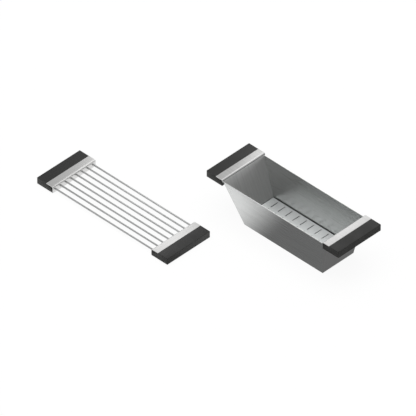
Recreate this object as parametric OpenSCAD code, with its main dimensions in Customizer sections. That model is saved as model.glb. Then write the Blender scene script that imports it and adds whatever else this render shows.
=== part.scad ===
// A drying rack and a tapered colander, the pair of steel accessories that bridge the ledges of a sink.
// The origin is the centre of the pair's footprint, at the level that both stand on. X runs along both items.
// Each item is drawn about its own centre first, with its right end unit at +X, then moved to its place.

/* [Span and grips] */
// Length of each item over its two grips
span_l = 446; // [400:1:520]
// Width of each item, along its grips
item_w = 148; // [130:1:200]
// Height of a grip block
grip_h = 19; // [17:0.5:26]
// Width of the black face outboard of the steel strip
grip_face_w = 31.8; // [24:0.1:40]
// Radius of the outer edges of a grip block
grip_edge_r = 0.8; // [0.3:0.1:1.5]

/* [Steel sheet] */
// Thickness of the steel sheet of strips, walls and panels
sheet_t = 1.5; // [1:0.1:1.8]
// Width of the strip, from the black face to the sheet's upright side
strip_w = 23; // [19:0.5:30]
// Outside radius of the bend at the strip's inner edge
strip_bend_r = 5; // [3:0.1:7]
// Gap between the strip's sheet and the grip block that carries it
seat_gap = 0.1; // [0.05:0.05:0.3]
// Radius of the top inner edge of the colander's left grip, which stands off the slanted wall
left_grip_round = 6.5; // [3.5:0.1:8]

/* [Drying rack] */
// Diameter of a rod
rod_d = 4.8; // [3:0.1:8]
// From the side of the rack to the axis of its outermost rod
rod_margin = 8.9; // [6:0.1:16]
// Depth of a rod's seat in the grip block, past the steel web
rod_seat_l = 8; // [4:0.5:9]
// Radial clearance round a rod in the web and in its seat
rod_fit = 0.1; // [0.05:0.05:0.3]
// How far the steel web ends above the underside of the grip
web_lift = 0.5; // [0.2:0.1:3]

/* [Colander basin] */
// Height of the colander, from its base to the top of its grips
colander_h = 120; // [90:1:160]
// How far the left end wall leans in over its height
left_rake = 55.3; // [20:0.1:80]
// How far the right end wall leans in over its height
right_rake = 18.4; // [5:0.1:50]
// How far each side panel leans in over its height
side_rake = 18.8; // [6:0.1:26]
// How far the rim of a side panel lies inside the end of the strip
side_inset = 2; // [0.5:0.1:5]
// How far the rim lies below the bend of the strip
rim_step = 0.6; // [0.2:0.1:8]
// Inside radius of the folds at the basin's base
fold_r = 0.6; // [0.3:0.1:3]
// Width of the ledge that the base sheet leaves round the drain opening
drain_ledge = 12; // [10:0.5:20]
// Corner radius of the drain opening
drain_corner_r = 8; // [2:0.5:15]

/* [Strainer tray] */
// Height of the tray's top over the colander's base
tray_top = 21.8; // [12:0.1:40]
// Thickness of the tray's sheet
tray_t = 1; // [0.8:0.1:2]
// Gap between the tray and the walls round it
tray_gap = 2.9; // [1.5:0.1:5]
// Inside radius of the tray's folds
tray_fold_r = 0.5; // [0.3:0.1:3]
// Gap under the tray's skirt, so that it lies free on the ledge
tray_float = 0.3; // [0.2:0.1:0.5]
// Width of a slot
slot_w = 2; // [1:0.1:4]
// Bridge of steel between the slots of one column
slot_bridge = 7.8; // [3:0.1:14]
// From the tray's left end to the axis of the first slot
slot_end_margin = 23.3; // [10:0.1:40]
// From the axis of the last slot to the tray's right end
slot_far_margin = 25.7; // [10:0.1:40]
// From the tray's long side to the ends of the slots
slot_side_margin = 6.4; // [4:0.1:10]

/* [Fasteners] */
// Diameter of a screw's shank
screw_d = 4; // [3:0.1:4.5]
// Diameter of a screw's head
head_d = 7.6; // [6:0.1:9]
// Height of a screw's head
head_h = 2.6; // [2:0.1:3.2]
// How deep the head is sunk in the underside of the grip
head_sink = 1.5; // [0.5:0.1:3]
// Width across the flats of the hexagon socket
socket_w = 2.5; // [1.5:0.1:3]
// Diameter of a weld nut
nut_d = 8; // [6.5:0.1:9]
// Height of a weld nut
nut_h = 6; // [4:0.1:7]
// Radial clearance round the screws and the weld nuts
screw_fit = 0.15; // [0.05:0.05:0.3]
// From the black face to the axis of a screw
screw_inset = 7; // [6:0.1:8]
// Distance between the two screws of a grip
screw_pitch = 74.4; // [40:0.1:110]

/* [Place of the two items] */
// Distance between the centres of rack and colander along X
pair_step_x = 363; // [0:1:600]
// Distance between the centres of rack and colander along Y
pair_step_y = 220.5; // [205:0.5:400]

/* [Hidden] */
$fn = 64;

rod_count = 8;
slot_cols = 10;
slot_rows = 3;
// Overrun of every cut past the face that it opens
cut = 1;
steel = "#c9c9c6";
rod_steel = "#b9bab8";
black = "#3f413f";
zinc = "#9da1a3";

// End unit, from the item's centre outwards
end_x = span_l / 2;
strip_x1 = end_x - grip_face_w;
strip_x0 = strip_x1 - strip_w;
bend_x = strip_x0 + strip_bend_r;
block_x0 = strip_x0 + sheet_t + seat_gap;
screw_x = strip_x1 - screw_inset;

// Rods
rod_pitch = (item_w - 2 * rod_margin) / (rod_count - 1);
rod_z = grip_h / 2;
rod_end_x = block_x0 + rod_seat_l;

// Basin, from the colander's base upwards
rim_z = colander_h - strip_bend_r - rim_step;
bend_z = colander_h - strip_bend_r;
fold_out_r = fold_r + sheet_t;
base_left = strip_x0 + sheet_t - left_rake;
base_right = strip_x0 + sheet_t - right_rake;
left_lean = lean(base_left);
right_lean = lean(base_right);
rim_y = item_w / 2 - side_inset;
base_y = rim_y - side_rake;
side_lean = atan(side_rake / rim_z);
panel_w = sheet_t / cos(side_lean);

// Tray, with its sides parallel to the walls
tray_z0 = sheet_t + tray_float;
tray_left = wall_x(base_left, left_lean, tray_top) - (sheet_t + tray_gap) / cos(left_lean);
tray_right = wall_x(base_right, right_lean, tray_top) - (sheet_t + tray_gap) / cos(right_lean);
tray_y = base_y + tray_top * tan(side_lean) - panel_w - tray_gap / cos(side_lean);
slot_pitch_x = (tray_left + tray_right - slot_end_margin - slot_far_margin) / (slot_cols - 1);
slot_l = (2 * (tray_y - slot_side_margin) - (slot_rows - 1) * slot_bridge) / slot_rows;
slot_pitch_y = slot_l + slot_bridge;

// Lean of an end wall from upright. Its outer face starts at base_x, and its top runs tangent into the bend
// of the strip.
function lean(base_x) = acos((strip_bend_r - sheet_t) / norm([bend_z, bend_x - base_x]))
    - atan2(bend_z, bend_x - base_x);
// Distance from the centre to the outer face of an end wall, at height z
function wall_x(base_x, angle, z) = base_x + z * tan(angle);
// Unit vector at an angle from +X
function dir(a) = [cos(a), sin(a)];

// Rectangle with round corners, about its centre
module round_rect(size, r) {
    square([size.x - 2 * r, size.y], center = true);
    square([size.x, size.y - 2 * r], center = true);
    for (x = [-1, 1], y = [-1, 1])
        translate([x * (size.x / 2 - r), y * (size.y / 2 - r)]) circle(r = r);
}

// Extrudes an X-Z outline along Y, over the given width about the centre
module along_y(w) {
    rotate([90, 0, 0]) linear_extrude(height = w, center = true) children();
}

// Extrudes a Y-Z outline along X, over the given length about the centre
module along_x(l) {
    rotate([90, 0, 90]) linear_extrude(height = l, center = true) children();
}

// Outline that flares from the height z0 up to z1, with round corners at its top. The reaches are those at
// the top.
module flared_outline(left, right, left_a, right_a, z0, z1, r) {
    reach = [left, right];
    angle = [left_a, right_a];
    corner = [for (i = [0, 1]) reach[i] - r * (1 + sin(angle[i])) / cos(angle[i])];
    foot = [for (i = [0, 1]) reach[i] - (z1 - z0) * tan(angle[i])];
    low = [for (i = [0, 1]) [corner[i] + r * cos(angle[i]), z1 - r - r * sin(angle[i])]];
    polygon([[-foot[0], z0], [foot[1], z0], low[1], [corner[1], z1],
        [-corner[0], z1], [-low[0].x, low[0].y]]);
    translate([-corner[0], z1 - r]) circle(r = r);
    translate([corner[1], z1 - r]) circle(r = r);
}

// Outline of the basin seen from the side, up to the rim, over the outer faces of its end walls
module basin_outline() {
    r = fold_out_r;
    base = [base_left, base_right];
    angle = [left_lean, right_lean];
    corner = [for (i = [0, 1]) base[i] - r * (1 - sin(angle[i])) / cos(angle[i])];
    rim = [for (i = [0, 1]) wall_x(base[i], angle[i], rim_z)];
    high = [for (i = [0, 1]) [corner[i] + r * cos(angle[i]), r - r * sin(angle[i])]];
    polygon([[-corner[0], 0], [corner[1], 0], high[1], [rim[1], rim_z],
        [-rim[0], rim_z], [-high[0].x, high[0].y]]);
    translate([-corner[0], r]) circle(r = r);
    translate([corner[1], r]) circle(r = r);
}

// Region over one face of the trough's sheet, seen from the side. With lift 0 that is the upper face, and
// with the sheet's thickness the lower one. The two outlines together bound the sheet's section.
module trough_outline(lift) {
    bend_r = strip_bend_r - lift;
    r = fold_r + lift;
    base = [base_left, base_right];
    angle = [left_lean, right_lean];
    bend_c = [bend_x, bend_z];
    fold_c = [for (i = [0, 1]) [base[i] - fold_out_r * (1 - sin(angle[i])) / cos(angle[i]), fold_out_r]];
    side = [for (i = [0, 1]) [fold_c[i] - [0, r], fold_c[i] + r * dir(-angle[i]),
        bend_c + bend_r * dir(180 - angle[i]), bend_c, bend_c + [0, bend_r],
        [strip_x1, bend_z + bend_r], [strip_x1, colander_h + cut]]];
    difference() {
        polygon([for (p = side[1]) p, for (k = [len(side[0]) - 1:-1:0]) [-side[0][k].x, side[0][k].y]]);
        for (x = [-bend_x, bend_x]) translate([x, bend_z]) circle(r = bend_r);
    }
    translate([-fold_c[0].x, fold_out_r]) circle(r = r);
    translate(fold_c[1]) circle(r = r);
}

// One end's grip block, at +X. Its recess takes the strip, and its pockets the weld nuts and screws.
module grip_block(rod_seats = false, corner_r = strip_bend_r - sheet_t) {
    l = end_x - block_x0;
    corner_z = grip_h - sheet_t - corner_r;
    difference() {
        translate([block_x0 + l / 2, 0, grip_h / 2]) intersection() {
            along_y(item_w) round_rect([l, grip_h], grip_edge_r);
            along_x(l) round_rect([item_w, grip_h], grip_edge_r);
            linear_extrude(height = grip_h, center = true) round_rect([l, item_w], grip_edge_r);
        }
        translate([block_x0 - cut, -item_w / 2 - cut, grip_h - sheet_t])
            cube([strip_x1 + seat_gap - block_x0 + cut, item_w + 2 * cut, sheet_t + cut]);
        difference() {
            translate([block_x0 - cut, -item_w / 2 - cut, corner_z])
                cube([corner_r + cut, item_w + 2 * cut, corner_r + cut]);
            along_y(item_w + 4 * cut) translate([block_x0 + corner_r, corner_z]) circle(r = corner_r);
        }
        at_screws() {
            translate([0, 0, -cut]) cylinder(d = screw_d + 2 * screw_fit, h = grip_h);
            translate([0, 0, -cut]) cylinder(d = head_d + 2 * screw_fit, h = head_sink + head_h + cut);
            translate([0, 0, grip_h - sheet_t - nut_h]) cylinder(d = nut_d + 2 * screw_fit, h = nut_h + cut);
        }
        if (rod_seats) for (i = [1:rod_count])
            translate([block_x0 - cut, rod_y(i), rod_z]) rotate([0, 90, 0])
                cylinder(d = rod_d + 2 * rod_fit, h = rod_seat_l + rod_fit + cut);
    }
}

// Rods are counted from the front
function rod_y(i) = (i - (rod_count + 1) / 2) * rod_pitch;

module at_screws() {
    for (side = [-1, 1]) translate([screw_x, side * screw_pitch / 2, 0]) children();
}

// Round nuts on the underside of the strip
module weld_nuts() {
    at_screws() translate([0, 0, grip_h - sheet_t - nut_h]) difference() {
        cylinder(d = nut_d, h = nut_h);
        translate([0, 0, -cut]) cylinder(d = screw_d + 2 * screw_fit, h = nut_h + 2 * cut);
    }
}

// Cap screws, heads down, that draw the block up against the strip
module screws() {
    head_z = head_sink + head_h;
    at_screws() difference() {
        union() {
            translate([0, 0, head_sink]) cylinder(d = head_d, h = head_h);
            translate([0, 0, head_z]) cylinder(d = screw_d, h = grip_h - sheet_t - head_z - screw_fit);
        }
        translate([0, 0, head_sink - cut]) cylinder(d = socket_w / cos(30), h = head_h / 2 + cut, $fn = 6);
    }
}

// Steel strip of the rack, bent down into an upright web that is drilled for the rods
module rack_channel() {
    bend = [bend_x, grip_h - strip_bend_r];
    difference() {
        along_y(item_w) {
            translate([bend_x, grip_h - sheet_t]) square([strip_x1 - bend_x, sheet_t]);
            translate([strip_x0, web_lift]) square([sheet_t, grip_h - strip_bend_r - web_lift]);
            intersection() {
                translate(bend - [strip_bend_r, 0]) square(strip_bend_r);
                difference() {
                    translate(bend) circle(r = strip_bend_r);
                    translate(bend) circle(r = strip_bend_r - sheet_t);
                }
            }
        }
        for (i = [1:rod_count]) translate([strip_x0 - cut, rod_y(i), rod_z]) rotate([0, 90, 0])
            cylinder(d = rod_d + 2 * rod_fit, h = sheet_t + 2 * cut);
    }
}

module rack_rod(i) {
    translate([-rod_end_x, rod_y(i), rod_z]) rotate([0, 90, 0]) cylinder(d = rod_d, h = 2 * rod_end_x);
}

// Bent sheet from strip to strip. Above the rim it has the strips' full width, and below it fits between
// the panels.
module trough() {
    drain_x0 = -base_left + drain_ledge;
    drain_l = base_left + base_right - 2 * drain_ledge;
    difference() {
        intersection() {
            along_y(item_w) difference() {
                trough_outline(sheet_t);
                trough_outline(0);
            }
            union() {
                translate([-end_x, -item_w / 2, rim_z]) cube([span_l, item_w, strip_bend_r + rim_step]);
                along_x(span_l) polygon([[-base_y + panel_w, 0], [base_y - panel_w, 0],
                    [rim_y - panel_w, rim_z], [-rim_y + panel_w, rim_z]]);
            }
        }
        translate([drain_x0 + drain_l / 2, 0, -cut]) linear_extrude(height = sheet_t + 2 * cut)
            round_rect([drain_l, 2 * (base_y - drain_ledge)], drain_corner_r);
    }
}

// Side panel at +Y, which covers the trough's edges
module side_panel() {
    intersection() {
        along_y(item_w) basin_outline();
        along_x(span_l) polygon([[base_y - panel_w, 0], [base_y, 0],
            [rim_y, rim_z], [rim_y - panel_w, rim_z]]);
    }
}

// Solid with the tray's form, drawn in by the given thickness, from height z0 up
module tray_form(inset, z0) {
    r = tray_fold_r + tray_t - inset;
    top = tray_top - inset;
    fall = [tan(left_lean), tan(right_lean), tan(side_lean)];
    intersection() {
        along_y(item_w) flared_outline(tray_left - inset * (fall[0] + 1 / cos(left_lean)),
            tray_right - inset * (fall[1] + 1 / cos(right_lean)), left_lean, right_lean, z0, top, r);
        along_x(span_l) flared_outline(tray_y - inset * (fall[2] + 1 / cos(side_lean)),
            tray_y - inset * (fall[2] + 1 / cos(side_lean)), side_lean, side_lean, z0, top, r);
    }
}

// Slotted tray with a skirt that stands on the ledge of the base
module tray() {
    difference() {
        tray_form(0, tray_z0);
        tray_form(tray_t, tray_z0 - cut);
        for (c = [0:slot_cols - 1], r = [0:slot_rows - 1])
            translate([-tray_left + slot_end_margin + c * slot_pitch_x,
                (r - (slot_rows - 1) / 2) * slot_pitch_y, tray_top - tray_t - cut])
                linear_extrude(height = tray_t + 2 * cut) slot();
    }
}

module slot() {
    straight = slot_l - slot_w;
    square([slot_w, straight], center = true);
    for (y = [-1, 1]) translate([0, y * straight / 2]) circle(d = slot_w);
}

module at_rack() {
    translate([-pair_step_x / 2, -pair_step_y / 2, 0]) children();
}

module at_colander() {
    translate([pair_step_x / 2, pair_step_y / 2, 0]) children();
}

module at_colander_grips() {
    at_colander() translate([0, 0, colander_h - grip_h]) children();
}

module rack_left_channel() { color(steel) at_rack() mirror([1, 0, 0]) rack_channel(); }
module rack_right_channel() { color(steel) at_rack() rack_channel(); }
module rack_left_grip() { color(black) at_rack() mirror([1, 0, 0]) grip_block(rod_seats = true); }
module rack_right_grip() { color(black) at_rack() grip_block(rod_seats = true); }
module rack_rods(i) { color(rod_steel) at_rack() rack_rod(i); }
module rack_left_weld_nuts() { color(zinc) at_rack() mirror([1, 0, 0]) weld_nuts(); }
module rack_right_weld_nuts() { color(zinc) at_rack() weld_nuts(); }
module rack_left_screws() { color(zinc) at_rack() mirror([1, 0, 0]) screws(); }
module rack_right_screws() { color(zinc) at_rack() screws(); }
module colander_trough() { color(steel) at_colander() trough(); }
module colander_front_panel() { color(steel) at_colander() mirror([0, 1, 0]) side_panel(); }
module colander_back_panel() { color(steel) at_colander() side_panel(); }
module colander_left_grip() {
    color(black) at_colander_grips() mirror([1, 0, 0]) grip_block(corner_r = left_grip_round);
}

module colander_right_grip() { color(black) at_colander_grips() grip_block(); }
module colander_left_weld_nuts() { color(zinc) at_colander_grips() mirror([1, 0, 0]) weld_nuts(); }
module colander_right_weld_nuts() { color(zinc) at_colander_grips() weld_nuts(); }
module colander_left_screws() { color(zinc) at_colander_grips() mirror([1, 0, 0]) screws(); }
module colander_right_screws() { color(zinc) at_colander_grips() screws(); }
module strainer_tray() { color(steel) at_colander() tray(); }

rack_left_channel();
rack_right_channel();
rack_left_grip();
rack_right_grip();
rack_rods(1);  // rack_rod_1
rack_rods(2);  // rack_rod_2
rack_rods(3);  // rack_rod_3
rack_rods(4);  // rack_rod_4
rack_rods(5);  // rack_rod_5
rack_rods(6);  // rack_rod_6
rack_rods(7);  // rack_rod_7
rack_rods(8);  // rack_rod_8
rack_left_weld_nuts();
rack_right_weld_nuts();
rack_left_screws();
rack_right_screws();
colander_trough();
colander_front_panel();
colander_back_panel();
colander_left_grip();
colander_right_grip();
colander_left_weld_nuts();
colander_right_weld_nuts();
colander_left_screws();
colander_right_screws();
strainer_tray();
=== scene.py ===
# Drying rack and colander for a workstation sink, finished and set in a small photo studio
import math

import bpy
from bpy.props import FloatProperty, FloatVectorProperty, PointerProperty
from bpy.types import Operator, Panel, PropertyGroup
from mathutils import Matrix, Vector


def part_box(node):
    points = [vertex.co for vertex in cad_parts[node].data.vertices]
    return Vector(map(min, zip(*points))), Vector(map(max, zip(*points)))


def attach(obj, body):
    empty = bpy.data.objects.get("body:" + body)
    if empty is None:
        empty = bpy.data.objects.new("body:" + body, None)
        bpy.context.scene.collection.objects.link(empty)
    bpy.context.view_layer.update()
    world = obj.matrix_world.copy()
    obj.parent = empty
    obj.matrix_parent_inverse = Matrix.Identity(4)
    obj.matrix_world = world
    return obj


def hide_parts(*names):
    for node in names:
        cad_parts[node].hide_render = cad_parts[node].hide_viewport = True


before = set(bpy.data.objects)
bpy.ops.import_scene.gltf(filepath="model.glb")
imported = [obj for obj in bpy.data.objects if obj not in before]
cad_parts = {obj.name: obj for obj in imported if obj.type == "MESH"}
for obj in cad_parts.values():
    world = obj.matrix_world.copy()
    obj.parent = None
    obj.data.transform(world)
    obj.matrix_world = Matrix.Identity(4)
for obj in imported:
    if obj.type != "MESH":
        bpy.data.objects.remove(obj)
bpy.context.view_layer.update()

bl_info = {
    "name": "Drying Rack and Colander Set",
    "version": (1, 0, 0),
    "blender": (4, 5, 0),
    "location": "View3D > Sidebar > Sink Set",
    "description": "Finishes the steel, the grips and the studio of a drying rack and colander",
    "category": "Object",
}

MM = 0.001

# Distances within which points are one point, a face reaches a height, a height is met and a cut snaps
WELD = 0.002 * MM
REACH = 0.001 * MM
LEVEL = 0.002 * MM
SNAP = 0.0001 * MM

# Angles between faces: of one plane, at sharp edges of sheet, in smooth bends, on smooth rods and grips
PLANE_ANGLE = math.radians(0.2)
EDGE_ANGLE = math.radians(50)
BEND_ANGLE = math.radians(30)
ROUND_ANGLE = math.radians(40)

# Weight of large faces in the shading of the corners that they share with small ones
FACE_WEIGHT = 50

# A face is a cut edge if less than this share of the step from brush line to brush line lies in it
CUT_SHARE = 0.4

# Outside radius of the bends beside the strips, as in the part
BEND_RADIUS = 5 * MM

# Fold below the colander's left strip: angle of the added edge on the arc, height of the ledge under the
# bend, end of the cuts, and how near to the wall's line a point has to lie to be moved
FOLD_ARC = math.radians(77)
FOLD_LEDGE = 0.3 * MM
FOLD_END = 0.9 * MM
FOLD_REACH = 0.5 * MM

# Points of the strip's top lie this near to the highest. The wall's outer point is looked for this near to
# the height of the bend's centre, and the bend's last point farther above it
FOLD_TOP = 0.01 * MM
FOLD_BAND = 1 * MM

# Faces of the trough: how deep the bends and the strips reach, the least Z of a strip's normal, and the most
# Z and the least X of the normal of the left bend, which gets a darker painted shade
BEND_DEPTH = 1.05 * BEND_RADIUS
STRIP_DEPTH = 2 * MM
STRIP_NORMAL_Z = 0.995
BEND_NORMAL_Z = 0.9
BEND_NORMAL_X = 0.05

# The slots lie in the tray's sheet, at least this far inside its sides, and their walls, which get a
# near-black painted shade, lean more than this
SLOT_DEPTH = 1.01 * MM
SLOT_BORDER = 8 * MM
SLOT_NORMAL_Z = 0.98

# Spacing and length of the brush lines on finishes that have their own
EDGE_LINES = (0.8 * MM, 6 * MM)
SLOT_SHADE_LINES = (0.3 * MM, 3 * MM)
ROD_LINES = (0.5 * MM, 90 * MM)
ZINC_LINES = (2 * MM, 4 * MM)

# How far the streaks and the fine lines change the roughness of steel, how strong and deep the lines are,
# their share on rods and zinc, and the scale of the streaks against the lines
STREAK_ROUGHNESS = 0.003
LINE_ROUGHNESS = 0.04
LINE_STRENGTH = 0.2
LINE_DEPTH = 0.03 * MM
ROD_RELIEF = 0.4
ZINC_RELIEF = 0.5
STREAK_SCALE = (0.35, 0.11, 0.11)

# Moulded grips: how much rougher they are where dull and smoother where rubbed, how strong and deep the
# grain is, and the scale of the slow mottling against the grain
GRIP_DULL = 0.05
GRIP_RUBBED = 0.04
GRAIN_STRENGTH = 0.35
GRAIN_DEPTH = 0.06 * MM
MOTTLE_SCALE = 0.02

# The colander's base lies below this height, and the floor's glow ends this far inside its footprint
BASE_TOP = 1 * MM
BASE_MARGIN = 1 * MM

# The floor lies this far under the feet. From one place along Y to the next its glow shifts along X
FLOOR_DROP = 0.05 * MM
FLOOR_ROUGHNESS = 0.95
FRONT_START = -0.05
FRONT_END = -0.25
FRONT_SHIFT = 0.12

# Parts of a direction over which the surround changes: from side to side, from front to back near the
# horizon, and from the top of the horizon to the bottom of the sky
SIDE_SPREAD = 0.6
HORIZON_SPREAD = 0.7
HORIZON_TOP = 0.2
SKY_BOTTOM = 0.5

# Softboxes: item, start and end towards picture-right in metres, radiance
SOFTBOXES = (("rack", -0.06, 0.16, 0.95), ("rack", 0.16, 0.34, 0.35),
             ("colander", -0.12, 0.15, 0.9), ("colander", 0.15, 0.34, 0.35))
SOFTBOX_DEPTH = 0.45
FILL_WIDTH = 0.4
FILL_DEPTH = 0.3
FILL_TURN = math.radians(90)
FLOOR_LIGHT_ANGLE = math.radians(60)

# Point that the camera looks at, its sensor's width in millimetres and how far it sees in metres
CAMERA_AIM = Vector((0.00405, -0.00507, 0.05215))
SENSOR_WIDTH = 36
CAMERA_REACH = 100


def colour(name, default, text):
    return FloatVectorProperty(name=name, description=text, default=default, size=3, min=0, max=1,
                               subtype="COLOR")


def length(name, default, text):
    return FloatProperty(name=name, description=text, default=default, min=0, unit="LENGTH", precision=5)


def share(name, default, text):
    return FloatProperty(name=name, description=text, default=default, min=0, max=1, subtype="FACTOR")


def level(name, default, text):
    return FloatProperty(name=name, description=text, default=default, min=0, max=10)


class SinkSetSteel(PropertyGroup):
    strip: colour("Strip colour", (0.705, 0.702, 0.696), "Colour of the strips beside the grips")
    strip_shade: colour("Strip streak colour", (0.620, 0.618, 0.612), "Colour of the strips' darker streaks")
    sheet: colour("Sheet colour", (0.672, 0.681, 0.676), "Colour of the colander's long walls")
    sheet_shade: colour("Sheet streak colour", (0.574, 0.583, 0.579), "Colour of the long walls' streaks")
    end_wall: colour("End wall colour", (0.702, 0.704, 0.700), "Colour of the colander's bent end walls")
    end_shade: colour("End wall streak colour", (0.600, 0.603, 0.599), "Colour of the end walls' streaks")
    tray: colour("Tray colour", (0.835, 0.855, 0.853), "Colour of the satin strainer tray")
    tray_shade: colour("Tray streak colour", (0.760, 0.780, 0.779), "Colour of the tray's darker streaks")
    rod: colour("Rod colour", (0.625, 0.630, 0.629), "Colour of the drawn rods")
    rod_shade: colour("Rod streak colour", (0.540, 0.545, 0.544), "Colour of the rods' darker streaks")
    edge: colour("Cut edge colour", (0.780, 0.782, 0.775), "Colour of the deburred edges of the sheet")
    # Painted shade: the slots' walls are near black, for the shade inside the punched slots
    slot_wall_painted_shade: colour("Sheared edge colour", (0.060, 0.061, 0.062), "Colour of the punched slots' walls")
    zinc: colour("Zinc colour", (0.480, 0.490, 0.495), "Colour of the plated screws and nuts")
    # Painted shade: the bend's colour is a darker copy of the steel, for the shade line under the strip and a
    # dimmer highlight
    bend: colour("Bend colour", (0.560, 0.561, 0.557), "Colour of the bend below the colander's left strip")
    strip_roughness: share("Strip roughness", 0.33, "Roughness of the strips beside the grips")
    trough_roughness: share("Trough roughness", 0.30, "Roughness of the colander's end walls")
    panel_roughness: share("Panel roughness", 0.25, "Roughness of the colander's long walls")
    tray_roughness: share("Tray roughness", 0.34, "Roughness of the satin strainer tray")
    rod_roughness: share("Rod roughness", 0.50, "Roughness of the drawn rods")
    edge_roughness: share("Cut edge roughness", 0.30, "Roughness of the deburred edges of the sheet")
    slot_wall_shade_roughness: share("Sheared edge roughness", 0.50, "Roughness of the punched slots' walls")
    zinc_roughness: share("Zinc roughness", 0.38, "Roughness of the plated screws and nuts")
    bend_roughness: share("Bend roughness", 0.38, "Roughness of the bend below the colander's left strip")
    bent_brush: share("Brush pull", 0.70, "How far the brush lines pull reflections on the bent sheet")
    panel_brush: share("Panel brush pull", 0.65, "How far they pull reflections on the long walls")
    tray_brush: share("Tray brush pull", 0.30, "How far they pull reflections on the satin tray")
    line_spacing: length("Line spacing", 0.45 * MM, "Distance between the brush lines")
    line_length: length("Line length", 60 * MM, "Length of a brush line")
    edge_round: length("Edge rounding", 0.2 * MM, "Width of the rounding along the sheet's cut edges")
    tray_round: length("Tray edge rounding", 0.1 * MM, "Width of the rounding along the tray's edges")


class SinkSetGrips(PropertyGroup):
    body: colour("Grip colour", (0.037, 0.037, 0.0355), "Colour of the moulded grips")
    rubbed: colour("Rubbed colour", (0.046, 0.046, 0.0445), "Colour of the places that hands have rubbed")
    roughness: share("Grip roughness", 0.46, "Roughness of the moulded grips")
    shine: share("Grip shine", 0.33, "Strength of the grips' reflections")
    grain: length("Grain size", 0.5 * MM, "Size of the grain that the mould leaves")
    mark_size: length("Mark size", 50 * MM, "Size of the marks that hands leave")


class SinkSetStudio(PropertyGroup):
    azimuth: FloatProperty(name="Camera azimuth", description="Direction of the camera round the set",
                           default=math.radians(44.437), subtype="ANGLE")
    elevation: FloatProperty(name="Camera elevation", description="Height of the camera over the horizon",
                             default=math.radians(39.411), subtype="ANGLE")
    distance: length("Camera distance", 37.0, "Distance of the camera from the set")
    lens: FloatProperty(name="Lens", description="Focal length of the camera in millimetres",
                        default=1317.6, min=1, max=5000)
    floor_size: length("Floor size", 7.0, "Width of the pale floor")
    floor: colour("Floor colour", (0.86, 0.86, 0.86), "Colour of the floor")
    floor_white: share("Floor white", 0.93, "How much of the floor's look to the camera is plain white")
    floor_left: level("Floor glow left", 1.11, "Brightness of the floor that metal mirrors at the left")
    floor_right: level("Floor glow right", 0.20, "Brightness of the floor that metal mirrors at the right")
    fade_start: FloatProperty(name="Fade start", description="Where the floor's glow starts to fade, along X",
                              default=0.0, unit="LENGTH")
    fade_end: FloatProperty(name="Fade end", description="Where the floor's glow has faded, along X",
                            default=0.155, unit="LENGTH")
    horizon_front: level("Horizon front", 0.33, "Brightness near the horizon on the side of minus Y")
    horizon_back: level("Horizon back", 0.6, "Brightness near the horizon on the side of plus Y")
    sky_left: level("Surround left", 0.62, "Brightness of the upper surround on the side of minus X")
    sky_right: level("Surround right", 0.33, "Brightness of the upper surround on the side of plus X")
    floor_light: level("Floor light", 0.76, "Brightness of the overhead light that lights only the floor")
    key: level("Softbox", 1.0, "Brightness of the softboxes over the items")
    fill: level("Tray fill", 0.3, "Brightness of the panel that the tray shows to the back wall")
    box_height: length("Softbox height", 0.2, "Height of the softboxes over the items")


def wipe_selection():
    bpy.ops.object.select_all(action="DESELECT")


def pick(obj):
    wipe_selection()
    obj.select_set(True)
    bpy.context.view_layer.objects.active = obj


def edit_all(piece, operator, **settings):
    """Runs one mesh operator on all of a piece's mesh."""
    pick(piece)
    bpy.ops.object.mode_set(mode="EDIT")
    bpy.ops.mesh.select_all(action="SELECT")
    operator(**settings)
    bpy.ops.object.mode_set(mode="OBJECT")


def apply_modifier(piece, kind, **settings):
    pick(piece)
    modifier = piece.modifiers.new(kind.title(), kind)
    for key, value in settings.items():
        setattr(modifier, key, value)
    bpy.ops.object.modifier_apply(modifier=modifier.name)


def copy_node(name, node):
    """New object with a copy of a CAD node's mesh, whose corners are joined."""
    piece = bpy.data.objects.new(name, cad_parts[node].data.copy())
    bpy.context.scene.collection.objects.link(piece)
    piece.data.materials.clear()
    edit_all(piece, bpy.ops.mesh.remove_doubles, threshold=WELD)
    return piece


def round_edges(piece, width):
    """Joins a copied mesh's flat triangles into whole faces and takes the sharpness off its edges."""
    edit_all(piece, bpy.ops.mesh.dissolve_limited, angle_limit=PLANE_ANGLE)
    apply_modifier(piece, "BEVEL", width=width, segments=2, limit_method="ANGLE", angle_limit=EDGE_ANGLE,
                   use_clamp_overlap=False)


def smooth(piece, angle):
    """Rounds the shading of bends. Each large flat face keeps its own direction, also as triangles."""
    pick(piece)
    bpy.ops.object.shade_smooth_by_angle(angle=angle, keep_sharp_edges=False)
    apply_modifier(piece, "WEIGHTED_NORMAL", mode="FACE_AREA", weight=FACE_WEIGHT, keep_sharp=True)
    apply_modifier(piece, "TRIANGULATE", quad_method="BEAUTY", ngon_method="BEAUTY",
                   keep_custom_normals=True)


def grain_map(piece, across, along):
    """UV map whose first axis runs across the brush lines. Faces across them get slot 1, the cut edge."""
    mesh = piece.data
    while mesh.uv_layers:
        mesh.uv_layers.remove(mesh.uv_layers[0])
    layer = mesh.uv_layers.new(name="Grain")
    axes = (Vector((1, 0, 0)), Vector((0, 1, 0)), Vector((0, 0, 1)))
    for face in mesh.polygons:
        centre = face.center
        for i, corner in zip(face.loop_indices, face.vertices):
            p = mesh.vertices[corner].co
            layer.data[i].uv = (across(p, centre), along(p, centre))
        slope = Vector([across(centre + axis, centre) - across(centre, centre) for axis in axes])
        flat = slope - slope.dot(face.normal) * face.normal
        face.material_index = 1 if flat.length < CUT_SHARE * slope.length else 0


def finish(piece, *names):
    """Gives a piece its materials, in the order of its faces' slots."""
    for name in names:
        piece.data.materials.append(bpy.data.materials[name])


def settle(piece, body, node):
    """Says what a finished piece rides on and hides the CAD node that it stands for."""
    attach(piece, body)
    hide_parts(node)


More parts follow.
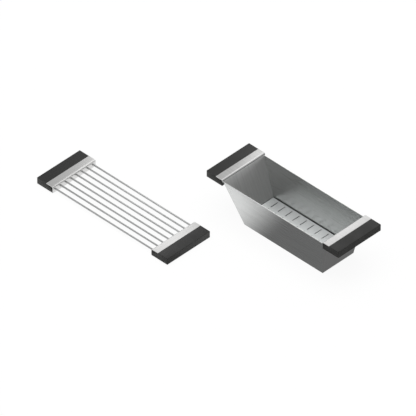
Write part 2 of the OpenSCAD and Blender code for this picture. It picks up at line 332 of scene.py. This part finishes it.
def cut_level(piece, z, limit):
    """Adds an edge at one height to the faces left of a limit that reach past it up and down."""
    pick(piece)
    bpy.ops.object.mode_set(mode="EDIT")
    bpy.ops.mesh.select_mode(type="FACE")
    bpy.ops.mesh.select_all(action="DESELECT")
    bpy.ops.object.mode_set(mode="OBJECT")
    mesh = piece.data
    for face in mesh.polygons:
        heights = [mesh.vertices[corner].co.z for corner in face.vertices]
        spans = min(heights) < z - REACH and max(heights) > z + REACH
        face.select = spans and face.center.x < limit
    bpy.ops.object.mode_set(mode="EDIT")
    bpy.ops.mesh.bisect(plane_co=(0, 0, z), plane_no=(0, 0, 1), threshold=SNAP)
    bpy.ops.mesh.select_mode(type="VERT")
    bpy.ops.object.mode_set(mode="OBJECT")


def fold_step(trough, middle):
    """Carries the left strip's bend on until it is upright, and joins it to the wall by a short ledge."""
    left = [v.co.copy() for v in trough.data.vertices if v.co.x < middle]
    top = max(p.z for p in left)
    hub = Vector((max(p.x for p in left if p.z > top - FOLD_TOP), 0, top - BEND_RADIUS))
    lip = max((p for p in left if p.z > hub.z + FOLD_BAND), key=lambda p: (round(p.x, 6), -p.z))
    foot = max((p for p in left if abs(p.z - hub.z) < FOLD_BAND), key=lambda p: p.x)
    moved = [(hub.x + BEND_RADIUS * math.sin(a), hub.z + BEND_RADIUS * math.cos(a))
             for a in (FOLD_ARC, math.radians(90))]
    moved.append((hub.x + BEND_RADIUS, hub.z - FOLD_LEDGE))
    heights = [z for x, z in moved] + [hub.z - FOLD_END]
    for z in heights:
        cut_level(trough, z, middle)
    for v in trough.data.vertices:
        for x, z in moved:
            wall = lip.x + (foot.x - lip.x) * (lip.z - z) / (lip.z - foot.z)
            if abs(v.co.z - z) < LEVEL and abs(v.co.x - wall) < FOLD_REACH:
                v.co.x = x


def add(tree, kind, inputs=None, **settings):
    """New node. A value in inputs that is a socket is linked, and any other is set."""
    node = tree.nodes.new(kind)
    for key, value in settings.items():
        setattr(node, key, value)
    for key, value in (inputs or {}).items():
        if isinstance(value, bpy.types.NodeSocket):
            tree.links.new(value, node.inputs[key])
        else:
            node.inputs[key].default_value = value
    return node


def math_node(tree, operation, *values):
    return add(tree, "ShaderNodeMath", dict(enumerate(values)), operation=operation).outputs[0]


def vector_node(tree, operation, *values):
    return add(tree, "ShaderNodeVectorMath", dict(enumerate(values)), operation=operation).outputs[0]


def new_group(name, sizes, outputs):
    """New node group that takes a vector and some sizes, and its input and output sockets."""
    group = bpy.data.node_groups.new(name, "ShaderNodeTree")
    group.interface.new_socket(name="Vector", in_out="INPUT", socket_type="NodeSocketVector")
    for label, value in sizes.items():
        socket = group.interface.new_socket(name=label, in_out="INPUT", socket_type="NodeSocketFloat")
        socket.default_value = value
    for label in outputs:
        group.interface.new_socket(name=label, in_out="OUTPUT", socket_type="NodeSocketFloat")
    return group, add(group, "NodeGroupInput").outputs, add(group, "NodeGroupOutput").inputs


def brush_lines_group():
    """Fine lines and broad streaks that run along the vector's X axis."""
    group, given, result = new_group("Brush Lines", {"Spacing": 0.5 * MM, "Length": 60 * MM},
                                     ("Lines", "Streaks"))
    across = math_node(group, "DIVIDE", 1.0, given["Spacing"])
    along = math_node(group, "DIVIDE", 1.0, given["Length"])
    scale = add(group, "ShaderNodeCombineXYZ", {"X": along, "Y": across, "Z": across})
    fine = vector_node(group, "MULTIPLY", given["Vector"], scale.outputs[0])
    lines = add(group, "ShaderNodeTexNoise", {"Vector": fine, "Scale": 1.0, "Detail": 3.0, "Roughness": 0.6})
    broad = vector_node(group, "MULTIPLY", fine, STREAK_SCALE)
    streaks = add(group, "ShaderNodeTexNoise", {"Vector": broad, "Scale": 1.0, "Detail": 4.0,
                                                "Roughness": 0.65})
    spread = add(group, "ShaderNodeMapRange", {"Value": streaks.outputs["Fac"], "From Min": 0.3,
                                               "From Max": 0.7})
    group.links.new(lines.outputs["Fac"], result["Lines"])
    group.links.new(spread.outputs[0], result["Streaks"])


def handling_group():
    """Broad soft marks that wiping and handling leave."""
    group, given, result = new_group("Handling Marks", {"Size": 80 * MM}, ("Marks",))
    scale = math_node(group, "DIVIDE", 1.0, given["Size"])
    cloud = add(group, "ShaderNodeTexNoise", {"Vector": given["Vector"], "Scale": scale, "Detail": 2.0,
                                              "Distortion": 0.2})
    marks = add(group, "ShaderNodeMapRange", {"Value": cloud.outputs["Fac"], "From Min": 0.35,
                                              "From Max": 0.7})
    group.links.new(marks.outputs[0], result["Marks"])


def moulded_grain_group():
    """Fine grain of a moulded plastic and its slow mottling."""
    group, given, result = new_group("Moulded Grain", {"Grain": 0.5 * MM}, ("Height", "Mottle"))
    scale = math_node(group, "DIVIDE", 1.0, given["Grain"])
    cells = add(group, "ShaderNodeTexNoise", {"Vector": given["Vector"], "Scale": scale, "Detail": 2.0,
                                              "Roughness": 0.55})
    slow = math_node(group, "MULTIPLY", scale, MOTTLE_SCALE)
    mottle = add(group, "ShaderNodeTexNoise", {"Vector": given["Vector"], "Scale": slow, "Detail": 3.0})
    group.links.new(cells.outputs["Fac"], result["Height"])
    group.links.new(mottle.outputs["Fac"], result["Mottle"])


def use_group(tree, name, inputs):
    return add(tree, "ShaderNodeGroup", inputs, node_tree=bpy.data.node_groups[name]).outputs


def new_material(name):
    """Node tree and shader of a new material."""
    material = bpy.data.materials.new(name)
    material.use_nodes = True
    tree = material.node_tree
    return tree, tree.nodes["Principled BSDF"]


def blend_colour(tree, shader, factor, low, high):
    """Links the shader's colour to a blend of two."""
    tone = add(tree, "ShaderNodeMix", {"Factor": factor}, data_type="RGBA")
    tone.inputs[6].default_value = (*low, 1)
    tone.inputs[7].default_value = (*high, 1)
    tree.links.new(tone.outputs[2], shader.inputs["Base Color"])


def brushed_metal(name, light, dark, roughness, pull=0.0, lines=None, relief=1.0):
    """Metal with brush lines. With a pull they follow the piece's Grain map, otherwise they run along X."""
    steel = bpy.context.scene.sink_set_steel
    tree, shader = new_material(name)
    if pull:
        chart = add(tree, "ShaderNodeUVMap", uv_map="Grain")
        parts = add(tree, "ShaderNodeSeparateXYZ", {"Vector": chart.outputs[0]}).outputs
        place = add(tree, "ShaderNodeCombineXYZ", {"X": parts["Y"], "Y": parts["X"]}).outputs[0]
        shader.inputs["Anisotropic"].default_value = pull
        tangent = add(tree, "ShaderNodeTangent", direction_type="UV_MAP", uv_map="Grain")
        tree.links.new(tangent.outputs[0], shader.inputs["Tangent"])
    else:
        place = add(tree, "ShaderNodeTexCoord").outputs["Object"]
    spacing, run = lines or (steel.line_spacing, steel.line_length)
    brush = use_group(tree, "Brush Lines", {"Vector": place, "Spacing": spacing, "Length": run})
    blend_colour(tree, shader, brush["Streaks"], dark, light)
    worn = add(tree, "ShaderNodeMapRange", {"Value": brush["Streaks"], "To Min": roughness + STREAK_ROUGHNESS,
                                            "To Max": roughness - STREAK_ROUGHNESS})
    fine = math_node(tree, "MULTIPLY_ADD", brush["Lines"], LINE_ROUGHNESS, worn.outputs[0])
    tree.links.new(fine, shader.inputs["Roughness"])
    bump = add(tree, "ShaderNodeBump", {"Height": brush["Lines"], "Strength": LINE_STRENGTH * relief,
                                        "Distance": LINE_DEPTH})
    tree.links.new(bump.outputs[0], shader.inputs["Normal"])
    shader.inputs["Metallic"].default_value = 1.0


def grip_plastic():
    """Moulded plastic with a fine grain, a little smoother and lighter where hands have rubbed it."""
    grips = bpy.context.scene.sink_set_grips
    tree, shader = new_material("Moulded Grip")
    place = add(tree, "ShaderNodeTexCoord").outputs["Object"]
    grain = use_group(tree, "Moulded Grain", {"Vector": place, "Grain": grips.grain})
    marks = use_group(tree, "Handling Marks", {"Vector": place, "Size": grips.mark_size})
    rubbed = math_node(tree, "MULTIPLY", marks["Marks"], grain["Mottle"])
    blend_colour(tree, shader, rubbed, grips.body, grips.rubbed)
    rough = add(tree, "ShaderNodeMapRange", {"Value": marks["Marks"], "To Min": grips.roughness + GRIP_DULL,
                                             "To Max": grips.roughness - GRIP_RUBBED})
    tree.links.new(rough.outputs[0], shader.inputs["Roughness"])
    shader.inputs["Specular IOR Level"].default_value = grips.shine
    bump = add(tree, "ShaderNodeBump", {"Height": grain["Height"], "Strength": GRAIN_STRENGTH,
                                        "Distance": GRAIN_DEPTH})
    tree.links.new(bump.outputs[0], shader.inputs["Normal"])


class SINKSET_OT_finishes(Operator):
    """Builds the shared shader groups and the materials"""
    bl_idname = "sink_set.finishes"
    bl_label = "Make Finishes"

    def execute(self, context):
        steel = context.scene.sink_set_steel
        brush_lines_group()
        handling_group()
        moulded_grain_group()
        # Bend Painted Shade is a darker copy of the end walls' steel: painted shade on the bend under the
        # colander's left strip
        for name, light, dark, roughness, pull in (
                ("Brushed Strip", steel.strip, steel.strip_shade, steel.strip_roughness, steel.bent_brush),
                ("Brushed Trough", steel.end_wall, steel.end_shade, steel.trough_roughness, steel.bent_brush),
                ("Stretched Bend", steel.bend, steel.bend, steel.bend_roughness, steel.bent_brush),
                ("Brushed Panel", steel.sheet, steel.sheet_shade, steel.panel_roughness, steel.panel_brush),
                ("Satin Tray", steel.tray, steel.tray_shade, steel.tray_roughness, steel.tray_brush)):
            brushed_metal(name, light, dark, roughness, pull=pull)
        brushed_metal("Cut Edge", steel.edge, steel.strip, steel.edge_roughness, lines=EDGE_LINES)
        # The slots' punched walls get a near-black painted shade for the shade inside the slots
        brushed_metal("Sheared Edge", steel.slot_wall_painted_shade, steel.slot_wall_painted_shade, steel.slot_wall_shade_roughness,
                      lines=SLOT_SHADE_LINES)
        brushed_metal("Drawn Rod", steel.rod, steel.rod_shade, steel.rod_roughness, lines=ROD_LINES,
                      relief=ROD_RELIEF)
        brushed_metal("Zinc Plate", steel.zinc, steel.zinc, steel.zinc_roughness, lines=ZINC_LINES,
                      relief=ZINC_RELIEF)
        grip_plastic()
        return {"FINISHED"}


class SINKSET_OT_grips(Operator):
    """Finishes the four moulded grips"""
    bl_idname = "sink_set.grips"
    bl_label = "Finish Grips"

    def execute(self, context):
        for item, body in (("rack", "drying_rack"), ("colander", "colander")):
            for side in ("left", "right"):
                node = f"{item}_{side}_grip"
                piece = copy_node(f"{item}_{side}_moulded_grip", node)
                smooth(piece, ROUND_ANGLE)
                finish(piece, "Moulded Grip")
                settle(piece, body, node)
        return {"FINISHED"}


class SINKSET_OT_channels(Operator):
    """Finishes the rack's two bent channels"""
    bl_idname = "sink_set.channels"
    bl_label = "Finish Rack Channels"

    def execute(self, context):
        for side, sign in (("left", -1), ("right", 1)):
            node = f"rack_{side}_channel"
            piece = copy_node(f"rack_{side}_brushed_channel", node)
            round_edges(piece, context.scene.sink_set_steel.edge_round)
            smooth(piece, BEND_ANGLE)
            grain_map(piece, lambda p, c: -p.x * sign - p.z, lambda p, c: p.y)
            finish(piece, "Brushed Strip", "Cut Edge")
            settle(piece, "drying_rack", node)
        return {"FINISHED"}


class SINKSET_OT_rods(Operator):
    """Finishes the rack's rods"""
    bl_idname = "sink_set.rods"
    bl_label = "Finish Rack Rods"

    def execute(self, context):
        for node in [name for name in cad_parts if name.startswith("rack_rod_")]:
            piece = copy_node(node.replace("rod", "drawn_rod"), node)
            smooth(piece, ROUND_ANGLE)
            finish(piece, "Drawn Rod")
            settle(piece, "drying_rack", node)
        return {"FINISHED"}


class SINKSET_OT_trough(Operator):
    """Finishes the colander's bent trough, with its two strips and its end walls"""
    bl_idname = "sink_set.trough"
    bl_label = "Finish Colander Trough"

    def execute(self, context):
        lo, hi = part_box("colander_trough")
        middle = (lo.x + hi.x) / 2
        trough = copy_node("colander_brushed_trough", "colander_trough")
        fold_step(trough, middle)
        round_edges(trough, context.scene.sink_set_steel.edge_round)
        smooth(trough, BEND_ANGLE)
        grain_map(trough, lambda p, c: p.y, lambda p, c: p.x + (p.z if c.x > middle else -p.z))
        finish(trough, "Brushed Trough", "Cut Edge", "Brushed Strip", "Stretched Bend")
        # Slot 2 is the strips' steel. Slot 3, on the left bend, is a darker painted shade for the shade line
        # under the strip
        for face in trough.data.polygons:
            centre, normal = face.center, face.normal
            if face.material_index == 0 and centre.z > hi.z - BEND_DEPTH:
                if normal.z > STRIP_NORMAL_Z and centre.z > hi.z - STRIP_DEPTH:
                    face.material_index = 2
                elif centre.x < middle and normal.x > BEND_NORMAL_X and normal.z < BEND_NORMAL_Z:
                    face.material_index = 3
        settle(trough, "colander", "colander_trough")
        return {"FINISHED"}


class SINKSET_OT_panels(Operator):
    """Finishes the colander's two side panels"""
    bl_idname = "sink_set.panels"
    bl_label = "Finish Colander Panels"

    def execute(self, context):
        for side in ("front", "back"):
            node = f"colander_{side}_panel"
            piece = copy_node(f"colander_brushed_{side}", node)
            round_edges(piece, context.scene.sink_set_steel.edge_round)
            smooth(piece, BEND_ANGLE)
            grain_map(piece, lambda p, c: p.z, lambda p, c: p.x)
            finish(piece, "Brushed Panel", "Cut Edge")
            settle(piece, "colander", node)
        return {"FINISHED"}


class SINKSET_OT_tray(Operator):
    """Finishes the slotted strainer tray"""
    bl_idname = "sink_set.tray"
    bl_label = "Finish Strainer Tray"

    def execute(self, context):
        lo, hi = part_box("strainer_tray")
        middle = (lo.y + hi.y) / 2
        piece = copy_node("slotted_strainer_tray", "strainer_tray")
        round_edges(piece, context.scene.sink_set_steel.tray_round)
        smooth(piece, BEND_ANGLE)
        grain_map(piece, lambda p, c: p.y + (p.z if c.y < middle else -p.z), lambda p, c: p.x)
        finish(piece, "Satin Tray", "Cut Edge", "Sheared Edge")
        # Slot 2 goes on the slots' walls: a near-black painted shade for the shade inside the slots
        for face in piece.data.polygons:
            centre = face.center
            inside = all(lo[i] + SLOT_BORDER < centre[i] < hi[i] - SLOT_BORDER for i in (0, 1))
            if inside and centre.z > hi.z - SLOT_DEPTH and abs(face.normal.z) < SLOT_NORMAL_Z:
                face.material_index = 2
        settle(piece, "strainer_tray", "strainer_tray")
        return {"FINISHED"}


class SINKSET_OT_fasteners(Operator):
    """Gives the screws and the weld nuts their plated finish"""
    bl_idname = "sink_set.fasteners"
    bl_label = "Finish Fasteners"

    def execute(self, context):
        for name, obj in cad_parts.items():
            if name.endswith(("screws", "weld_nuts")):
                obj.data.materials.clear()
                finish(obj, "Zinc Plate")
        return {"FINISHED"}


def beyond_base(tree, spot):
    """Socket that is 1 outside the colander's footprint and 0 under it."""
    base = [v.co for node in ("colander_front_panel", "colander_back_panel")
            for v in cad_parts[node].data.vertices if v.co.z < BASE_TOP]
    low = Vector((min(p.x for p in base) + BASE_MARGIN, min(p.y for p in base) + BASE_MARGIN, 0))
    high = Vector((max(p.x for p in base) - BASE_MARGIN, max(p.y for p in base) - BASE_MARGIN, 0))
    away = vector_node(tree, "ABSOLUTE", vector_node(tree, "SUBTRACT", spot, (low + high) / 2))
    reach = add(tree, "ShaderNodeSeparateXYZ", {"Vector": away}).outputs
    return math_node(tree, "MAXIMUM", math_node(tree, "GREATER_THAN", reach["X"], (high.x - low.x) / 2),
                     math_node(tree, "GREATER_THAN", reach["Y"], (high.y - low.y) / 2))


def floor_material(studio):
    """Pale matte floor, clear from below. The camera sees it near white with shadows, metal a graded glow."""
    tree, shader = new_material("Studio Floor")
    shader.inputs["Base Color"].default_value = (*studio.floor, 1)
    shader.inputs["Roughness"].default_value = FLOOR_ROUGHNESS
    shader.inputs["Specular IOR Level"].default_value = 0.0
    path = add(tree, "ShaderNodeLightPath").outputs
    spot = add(tree, "ShaderNodeTexCoord").outputs["Object"]
    outside = beyond_base(tree, spot)
    white = add(tree, "ShaderNodeEmission", {"Color": (1, 1, 1, 1), "Strength": 1.0})
    shown = math_node(tree, "MULTIPLY", path["Is Camera Ray"],
                      math_node(tree, "MULTIPLY", outside, studio.floor_white))
    clean = add(tree, "ShaderNodeMixShader", {"Fac": shown, 1: shader.outputs[0], 2: white.outputs[0]})
    axes = add(tree, "ShaderNodeSeparateXYZ", {"Vector": spot}).outputs
    front = add(tree, "ShaderNodeMapRange", {"Value": axes["Y"], "From Min": FRONT_START,
                                             "From Max": FRONT_END, "To Min": 0.0, "To Max": FRONT_SHIFT})
    along = math_node(tree, "ADD", axes["X"], front.outputs[0])
    fade = add(tree, "ShaderNodeMapRange", {"Value": along, "From Min": studio.fade_start,
                                            "From Max": studio.fade_end, "To Min": studio.floor_left,
                                            "To Max": studio.floor_right}, interpolation_type="SMOOTHSTEP")
    lit = math_node(tree, "MULTIPLY", fade.outputs[0], outside)
    glow = add(tree, "ShaderNodeEmission", {"Color": (1, 1, 1, 1), "Strength": lit})
    mix = add(tree, "ShaderNodeMixShader", {"Fac": path["Is Glossy Ray"], 1: clean.outputs[0],
                                            2: glow.outputs[0]})
    below = add(tree, "ShaderNodeNewGeometry").outputs["Backfacing"]
    clear = add(tree, "ShaderNodeBsdfTransparent")
    either = add(tree, "ShaderNodeMixShader", {"Fac": below, 1: mix.outputs[0], 2: clear.outputs[0]})
    tree.links.new(either.outputs[0], tree.nodes["Material Output"].inputs["Surface"])


def surround(studio):
    """World that is white to the camera and a soft graded studio to everything else."""
    world = bpy.data.worlds.new("Studio Surround")
    bpy.context.scene.world = world
    world.use_nodes = True
    tree = world.node_tree
    place = add(tree, "ShaderNodeTexCoord").outputs["Generated"]
    axes = add(tree, "ShaderNodeSeparateXYZ", {"Vector": place}).outputs
    sky = add(tree, "ShaderNodeMapRange", {"Value": axes["X"], "From Min": -SIDE_SPREAD,
                                           "From Max": SIDE_SPREAD, "To Min": studio.sky_left,
                                           "To Max": studio.sky_right}, interpolation_type="SMOOTHSTEP")
    low = add(tree, "ShaderNodeMapRange", {"Value": axes["Y"], "From Min": -HORIZON_SPREAD,
                                           "From Max": HORIZON_SPREAD, "To Min": studio.horizon_front,
                                           "To Max": studio.horizon_back}, interpolation_type="SMOOTHSTEP")
    height = add(tree, "ShaderNodeMapRange", {"Value": axes["Z"], "From Min": HORIZON_TOP,
                                              "From Max": SKY_BOTTOM}, interpolation_type="SMOOTHSTEP")
    strength = add(tree, "ShaderNodeMix", {0: height.outputs[0], 2: low.outputs[0], 3: sky.outputs[0]})
    light = tree.nodes["Background"]
    light.inputs["Color"].default_value = (1, 1, 1, 1)
    tree.links.new(strength.outputs[0], light.inputs["Strength"])
    seen = add(tree, "ShaderNodeBackground", {"Color": (1, 1, 1, 1), "Strength": 1.0})
    path = add(tree, "ShaderNodeLightPath").outputs
    mix = add(tree, "ShaderNodeMixShader", {"Fac": path["Is Camera Ray"], 1: light.outputs[0],
                                            2: seen.outputs[0]})
    tree.links.new(mix.outputs[0], tree.nodes["World Output"].inputs["Surface"])


def add_lamp(data, lit):
    """Puts a lamp in the scene that lights only the given objects."""
    lamp = bpy.data.objects.new(data.name, data)
    bpy.context.scene.collection.objects.link(lamp)
    group = bpy.data.collections.new(lamp.name + "_lit")
    for obj in lit:
        group.objects.link(obj)
    lamp.light_linking.receiver_collection = group
    return lamp


def camera_side(azimuth, elevation):
    """Direction from the set to a camera, and that camera's right."""
    back = Vector((math.sin(azimuth) * math.cos(elevation), -math.cos(azimuth) * math.cos(elevation),
                   math.sin(elevation)))
    return back, Vector((math.cos(azimuth), math.sin(azimuth), 0))


def softbox(name, over, start, end, depth, radiance, lit, studio, turn=0.0):
    """Soft panel that the top faces under it mirror to the camera, or to its direction after a turn.

    Start and end run picture-right, turned the same way.
    """
    azimuth = studio.azimuth + turn
    back, right = camera_side(azimuth, studio.elevation)
    mirrored = Vector((-back.x, -back.y, back.z))
    data = bpy.data.lights.new(name, "AREA")
    data.shape = "RECTANGLE"
    data.size, data.size_y = end - start, depth
    data.energy = radiance * math.pi * data.size * data.size_y
    lamp = add_lamp(data, lit)
    lamp.location = over + mirrored * (studio.box_height / mirrored.z) + right * (start + end) / 2
    lamp.rotation_euler = (0, 0, azimuth)
    lamp.visible_camera = False


def photo_camera(studio):
    """Camera that sees the set as in the photo."""
    back = camera_side(studio.azimuth, studio.elevation)[0]
    data = bpy.data.cameras.new("studio_camera")
    data.sensor_width = SENSOR_WIDTH
    data.lens = studio.lens
    data.clip_end = CAMERA_REACH
    camera = bpy.data.objects.new("studio_camera", data)
    bpy.context.scene.collection.objects.link(camera)
    camera.location = CAMERA_AIM + back * studio.distance
    camera.rotation_mode = "QUATERNION"
    camera.rotation_quaternion = (-back).to_track_quat("-Z", "Y")
    bpy.context.scene.camera = camera


class SINKSET_OT_studio(Operator):
    """Sets up the floor, the surround, the lamps and the camera"""
    bl_idname = "sink_set.studio"
    bl_label = "Set Up Studio"

    def execute(self, context):
        studio = context.scene.sink_set_studio
        context.scene.view_settings.view_transform = "Standard"
        shown = [obj for obj in bpy.data.objects if obj.type == "MESH"]
        tray = [obj for obj in shown if "strainer_tray" in obj.name]
        floor_material(studio)
        wipe_selection()
        bpy.ops.mesh.primitive_plane_add(size=studio.floor_size, location=(0, 0, -FLOOR_DROP))
        floor = context.active_object
        floor.name = "studio_floor"
        finish(floor, "Studio Floor")
        surround(studio)

        data = bpy.data.lights.new("floor_light", "SUN")
        data.energy = studio.floor_light * math.pi
        data.angle = FLOOR_LIGHT_ANGLE
        add_lamp(data, [floor])

        for item, start, end, radiance in SOFTBOXES:
            lo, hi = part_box(f"{item}_left_grip")
            far_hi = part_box(f"{item}_right_grip")[1]
            over = Vector(((lo.x + far_hi.x) / 2, (lo.y + hi.y) / 2, hi.z))
            lit = [obj for obj in shown if obj.name.startswith(item)] + (tray if item == "colander" else [])
            softbox(item + "_softbox", over, start, end, SOFTBOX_DEPTH, radiance * studio.key, lit, studio)
        lo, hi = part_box("strainer_tray")
        softbox("tray_fill", (lo + hi) / 2, -FILL_WIDTH / 2, FILL_WIDTH / 2, FILL_DEPTH, studio.fill, tray,
                studio, turn=FILL_TURN)
        photo_camera(studio)
        return {"FINISHED"}


class SINKSET_PT_panel(Panel):
    """Lists the steps and the settings in the sidebar of the 3D view"""
    bl_idname = "SINKSET_PT_panel"
    bl_label = "Sink Set"
    bl_space_type = "VIEW_3D"
    bl_region_type = "UI"
    bl_category = "Sink Set"

    def draw(self, context):
        column = self.layout.column()
        for step in STEPS:
            column.operator(step.bl_idname)
        scene = context.scene
        for settings in (scene.sink_set_steel, scene.sink_set_grips, scene.sink_set_studio):
            box = self.layout.box()
            for key in settings.bl_rna.properties.keys():
                if key not in ("rna_type", "name"):
                    box.prop(settings, key)


STEPS = (SINKSET_OT_finishes, SINKSET_OT_grips, SINKSET_OT_channels, SINKSET_OT_rods, SINKSET_OT_trough,
         SINKSET_OT_panels, SINKSET_OT_tray, SINKSET_OT_fasteners, SINKSET_OT_studio)
CLASSES = (SinkSetSteel, SinkSetGrips, SinkSetStudio, *STEPS, SINKSET_PT_panel)


def register():
    for cls in CLASSES:
        bpy.utils.register_class(cls)
    bpy.types.Scene.sink_set_steel = PointerProperty(type=SinkSetSteel)
    bpy.types.Scene.sink_set_grips = PointerProperty(type=SinkSetGrips)
    bpy.types.Scene.sink_set_studio = PointerProperty(type=SinkSetStudio)


def unregister():
    del bpy.types.Scene.sink_set_studio
    del bpy.types.Scene.sink_set_grips
    del bpy.types.Scene.sink_set_steel
    for cls in reversed(CLASSES):
        bpy.utils.unregister_class(cls)


def main():
    register()
    bpy.ops.sink_set.finishes()
    bpy.ops.sink_set.grips()
    bpy.ops.sink_set.channels()
    bpy.ops.sink_set.rods()
    bpy.ops.sink_set.trough()
    bpy.ops.sink_set.panels()
    bpy.ops.sink_set.tray()
    bpy.ops.sink_set.fasteners()
    bpy.ops.sink_set.studio()


if __name__ == "__main__":
    main()
